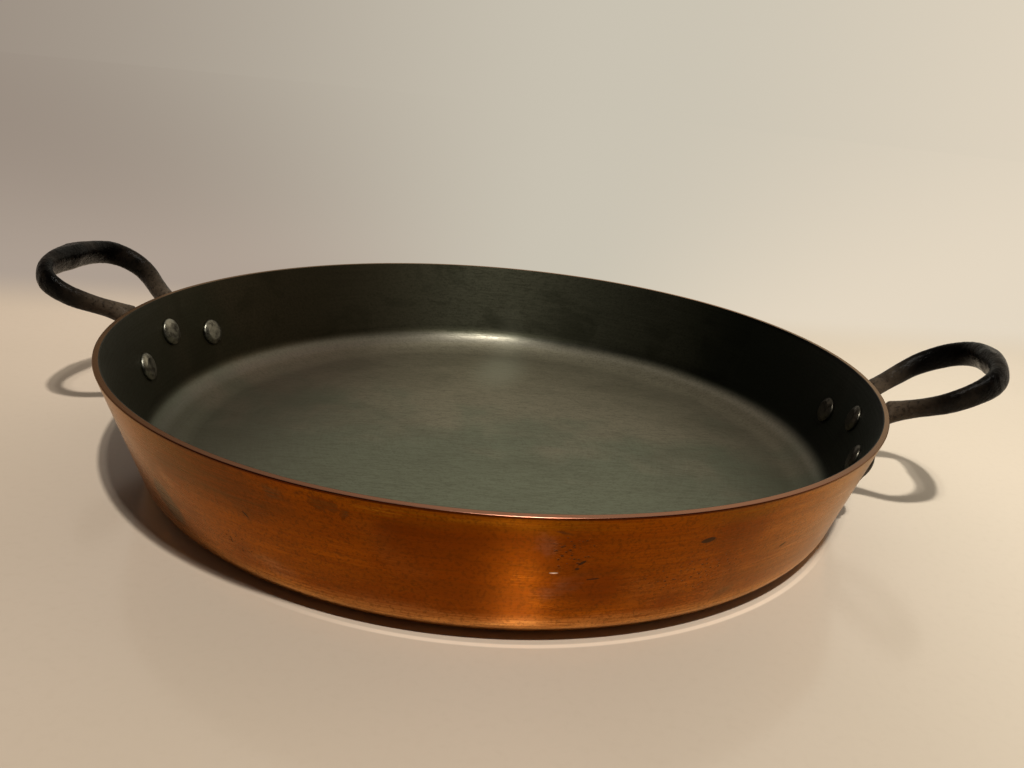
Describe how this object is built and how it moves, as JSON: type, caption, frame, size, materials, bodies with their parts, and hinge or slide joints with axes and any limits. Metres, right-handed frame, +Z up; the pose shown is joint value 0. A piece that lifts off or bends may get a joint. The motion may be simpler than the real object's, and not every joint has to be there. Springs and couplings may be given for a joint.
{
  "type": "gratin pan",
  "caption": "Low round copper pan with sloping sides, tinned inside, with a riveted iron loop handle at each end.",
  "frame": {"origin": "centre of the flat underside that the pan rests on", "axes": "+Z up out of the pan, +X from the centre through the right handle, +Y away from the side the picture shows"},
  "size_m": [0.384, 0.3, 0.0687],
  "materials": {
    "copper": "satin copper, worn and lightly tarnished, with fine brush lines round the wall",
    "tin": "dull grey tin, darkened by use, fine wiped streaks",
    "iron": "near-black forged iron with a faint sheen",
    "rivet": "dull worn metal, tinned on the inner heads"
  },
  "bodies": {
    "root": {"copper_body": "copper", "tin_lining": "tin", "right_handle": "iron", "right_front_rivet": "rivet", "right_upper_rivet": "rivet", "right_rear_rivet": "rivet", "left_handle": "iron", "left_front_rivet": "rivet", "left_upper_rivet": "rivet", "left_rear_rivet": "rivet"}
  },
  "joints": []
}
